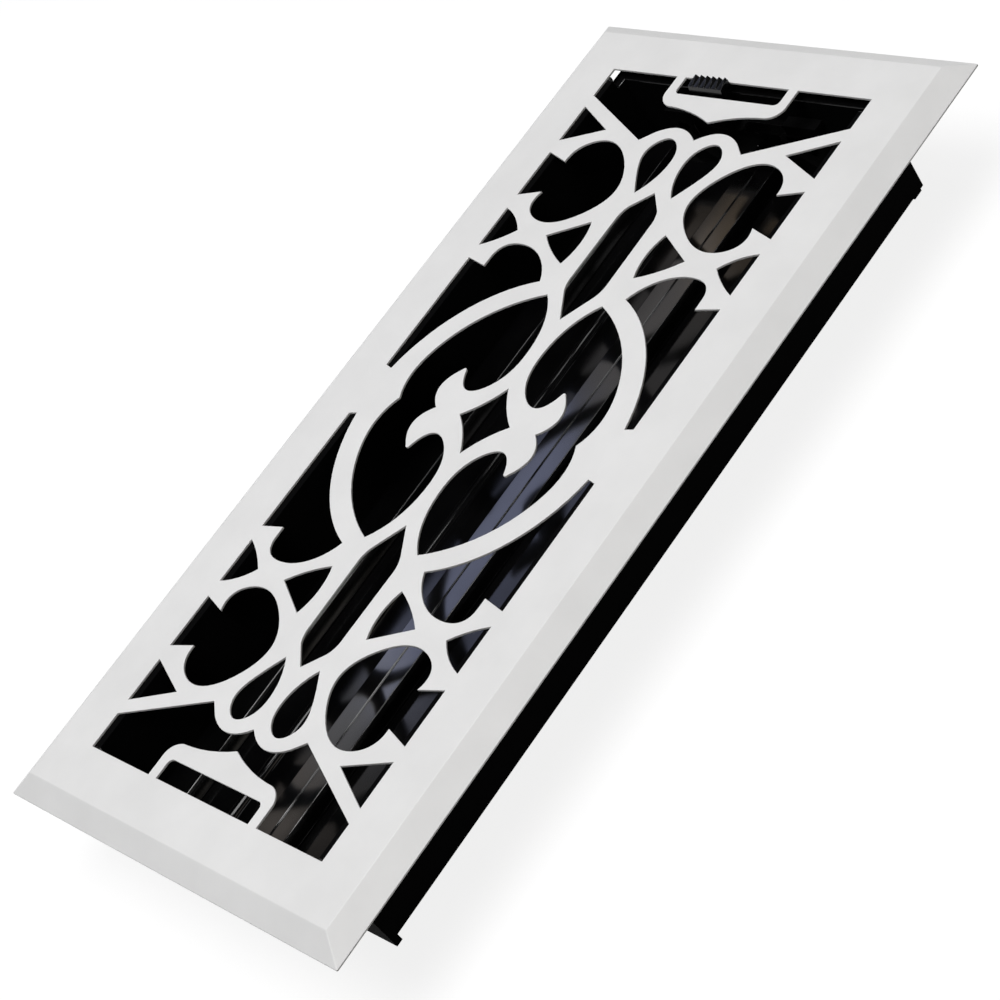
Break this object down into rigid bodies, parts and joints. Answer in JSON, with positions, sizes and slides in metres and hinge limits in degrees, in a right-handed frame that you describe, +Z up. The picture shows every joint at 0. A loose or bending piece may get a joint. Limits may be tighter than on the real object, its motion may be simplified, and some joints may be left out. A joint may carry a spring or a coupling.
{
  "type": "floor register",
  "caption": "Rectangular floor register: bevelled sheet-metal face pierced with a scroll pattern, over a damper box whose blades open with a sliding thumb lever.",
  "frame": {"origin": "middle of the floor plane, on which the rim of the face plate rests", "axes": "+X along the length towards the lever's end, +Y across the width, +Z up out of the face"},
  "size_m": [0.2858, 0.1366, 0.0397],
  "materials": {
    "white_paint": "satin powder coat",
    "black_gloss": "glossy moulding",
    "black_matte": "fine matte texture",
    "spring_steel": "zinc plated"
  },
  "bodies": {
    "register": {"face_plate": "white_paint", "damper_box": "black_gloss", "retaining_clips": "spring_steel"},
    "lever": {"thumb_lever": "black_matte"},
    "left_damper": {"left_blade": "black_gloss", "left_crank": "black_matte"},
    "right_damper": {"right_blade": "black_gloss", "right_crank": "black_matte"}
  },
  "joints": [
    {"name": "lever_slide", "type": "slide", "parent": "register", "child": "lever", "axis": [0, -1, 0], "range_m": [0, 0.0158]},
    {"name": "left_damper_turn", "type": "hinge", "parent": "register", "child": "left_damper", "pos_m": [0, 0.02077, -0.0254], "axis": [1, 0, 0], "range_deg": [0, 90]},
    {"name": "right_damper_turn", "type": "hinge", "parent": "register", "child": "right_damper", "pos_m": [0, -0.02077, -0.0254], "axis": [1, 0, 0], "range_deg": [0, 90]}
  ],
  "couplings": [
    {"joint": "left_damper_turn", "follows": "lever_slide", "rad_per_m": 99.41},
    {"joint": "right_damper_turn", "follows": "lever_slide", "rad_per_m": 99.41}
  ]
}
